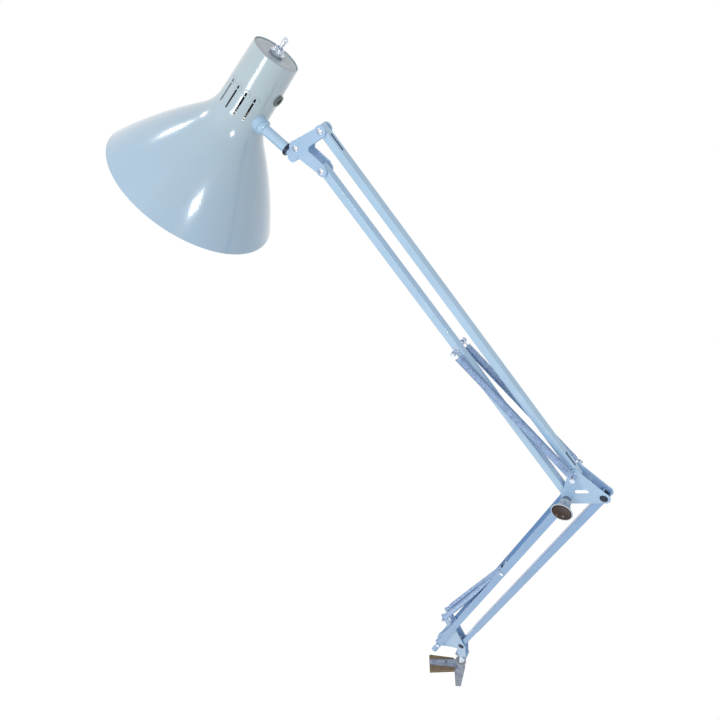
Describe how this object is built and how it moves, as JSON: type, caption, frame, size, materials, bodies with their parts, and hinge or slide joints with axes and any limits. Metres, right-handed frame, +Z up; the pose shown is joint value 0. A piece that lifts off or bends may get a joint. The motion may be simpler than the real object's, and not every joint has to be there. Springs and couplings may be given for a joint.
{
  "type": "architect lamp",
  "caption": "Spring-balanced desk lamp: table clamp, swivelling two-part arm of parallel bars with exposed coil springs, and a bell shade on a ball-jointed rod with a toggle switch.",
  "frame": {"origin": "centre of the contact face under the clamp's upper jaw, at the level of the table top it rests on", "axes": "+Z up, square to the table; the arms swing in a plane square to Y, and -X is the side the upper arm and the shade reach to"},
  "size_m": [0.6319, 0.2028, 1.0514],
  "materials": {
    "shade_enamel": "satin stoved enamel, pale blue-grey",
    "upper_arm_enamel": "satin stoved enamel, sky blue",
    "lower_arm_enamel": "satin stoved enamel, blue",
    "plate_enamel": "satin stoved enamel on stamped sheet",
    "cast_enamel": "stoved enamel over a rough casting",
    "brown_pad": "matt brown moulded rubber",
    "bright_steel": "nickel-plated steel",
    "zinc_steel": "zinc-plated steel",
    "spring_steel": "drawn spring wire",
    "nylon": "natural nylon",
    "dark_plastic": "moulded phenolic",
    "knob_plastic": "moulded plastic",
    "brass_parts": "plain brass",
    "bulb_glass": "clear blown glass",
    "black_rubber": "soft black rubber"
  },
  "bodies": {
    "clamp": {"clamp_body": "cast_enamel", "jaw_pad": "brown_pad", "pad_rivets": "zinc_steel", "swivel_bush": "nylon"},
    "screw_pad": {"screw_pad": "zinc_steel"},
    "clamp_screw": {"clamp_screw": "zinc_steel", "tommy_bar": "zinc_steel"},
    "bracket": {"swivel_pin": "bright_steel", "bracket_near": "plate_enamel", "bracket_far": "plate_enamel", "bracket_foot": "plate_enamel", "foot_rivets": "zinc_steel", "base_bolt": "bright_steel", "base_washers": "nylon", "rear_rivets": "bright_steel", "horn_pin": "bright_steel"},
    "lower_arm": {"lower_front_tube": "lower_arm_enamel", "lower_end_fitting": "lower_arm_enamel"},
    "lower_link": {"lower_rear_channel": "lower_arm_enamel", "channel_spring_pin": "bright_steel", "lower_spring_near": "spring_steel", "lower_spring_far": "spring_steel"},
    "elbow": {"elbow_plate_near": "plate_enamel", "elbow_plate_far": "plate_enamel", "elbow_bolt": "bright_steel", "elbow_washers": "nylon", "elbow_bushes": "zinc_steel", "knob_bolt": "bright_steel", "spring_pivot_pin": "bright_steel"},
    "knob": {"elbow_knob": "knob_plastic"},
    "upper_arm": {"upper_front_tube": "upper_arm_enamel"},
    "upper_link": {"upper_rear_tube": "upper_arm_enamel", "tube_spring_pin": "bright_steel", "upper_spring_near": "spring_steel", "upper_spring_far": "spring_steel"},
    "head": {"head_plate_near": "plate_enamel", "head_plate_far": "plate_enamel", "head_rivets": "bright_steel", "head_washers": "nylon"},
    "head_block": {"head_block": "plate_enamel", "swivel_collar": "zinc_steel"},
    "rod": {"shade_rod": "upper_arm_enamel"},
    "shade": {"ball_cup": "upper_arm_enamel", "shade_shell": "shade_enamel", "end_cap": "shade_enamel", "holder_strap": "zinc_steel", "lampholder": "dark_plastic", "holder_contact": "brass_parts", "bulb_cap": "brass_parts", "bulb_glass": "bulb_glass", "switch_body": "dark_plastic", "switch_bushing": "bright_steel", "switch_nut": "bright_steel", "cord_grommet": "black_rubber"},
    "lever": {"switch_lever": "bright_steel"}
  },
  "joints": [
    {"name": "pad_travel", "type": "slide", "parent": "clamp", "child": "screw_pad", "axis": [0, 0, 1], "range_m": [-0.0202, 0.0222]},
    {"name": "screw_turn", "type": "hinge", "parent": "screw_pad", "child": "clamp_screw", "pos_m": [0.00445, 0.00227, -0.025], "axis": [0, 0, 1], "range_deg": [-4800, 5280]},
    {"name": "base_swivel", "type": "hinge", "parent": "clamp", "child": "bracket", "pos_m": [0.02762, 0.01407, 0.03], "axis": [0, 0, 1], "continuous": true},
    {"name": "lower_lean", "type": "hinge", "parent": "bracket", "child": "lower_arm", "pos_m": [0.02492, 0.01407, 0.0778], "axis": [0, 1, 0], "range_deg": [-5, 27]},
    {"name": "lower_link_lean", "type": "hinge", "parent": "bracket", "child": "lower_link", "pos_m": [-0.01208, 0.01407, 0.0548], "axis": [0, 1, 0], "range_deg": [-5.1, 27.1], "deforming": ["lower_spring_near", "lower_spring_far"]},
    {"name": "elbow_level", "type": "hinge", "parent": "lower_arm", "child": "elbow", "pos_m": [0.14999, 0.01407, 0.52878], "axis": [0, 1, 0], "range_deg": [-27.1, 5.1]},
    {"name": "knob_turn", "type": "hinge", "parent": "elbow", "child": "knob", "pos_m": [0.11299, 0.00127, 0.50578], "axis": [0, -1, 0], "continuous": true},
    {"name": "upper_lean", "type": "hinge", "parent": "elbow", "child": "upper_arm", "pos_m": [0.11299, 0.01407, 0.54728], "axis": [0, 1, 0], "range_deg": [-60, 29]},
    {"name": "upper_link_lean", "type": "hinge", "parent": "elbow", "child": "upper_link", "pos_m": [0.11299, 0.01407, 0.50578], "axis": [0, 1, 0], "range_deg": [-60.1, 29.1], "deforming": ["upper_spring_near", "upper_spring_far"]},
    {"name": "head_level", "type": "hinge", "parent": "upper_arm", "child": "head", "pos_m": [-0.21316, 0.01407, 0.87801], "axis": [0, 1, 0], "range_deg": [-29.1, 60.1]},
    {"name": "head_tilt", "type": "hinge", "parent": "head", "child": "head_block", "pos_m": [-0.24436, 0.01407, 0.85521], "axis": [0, 1, 0], "range_deg": [-35, 35]},
    {"name": "rod_twist", "type": "hinge", "parent": "head_block", "child": "rod", "pos_m": [-0.25843, 0.01407, 0.84832], "axis": [-0.8607, 0, 0.509], "range_deg": [-170, 170]},
    {"name": "shade_tilt", "type": "hinge", "parent": "rod", "child": "shade", "pos_m": [-0.29166, 0.01407, 0.86797], "axis": [0, 1, 0], "range_deg": [-28, 28]},
    {"name": "switch_throw", "type": "hinge", "parent": "shade", "child": "lever", "pos_m": [-0.28331, 0.03994, 0.93681], "axis": [-0.7556, -0.2703, 0.5966], "range_deg": [-24, 0]}
  ],
  "couplings": [
    {"joint": "pad_travel", "follows": "screw_turn", "m_per_rad": 0.00023873},
    {"joint": "lower_link_lean", "follows": "lower_lean", "ratio": 1},
    {"joint": "elbow_level", "follows": "lower_lean", "ratio": -1},
    {"joint": "upper_link_lean", "follows": "upper_lean", "ratio": 1},
    {"joint": "head_level", "follows": "upper_lean", "ratio": -1}
  ]
}
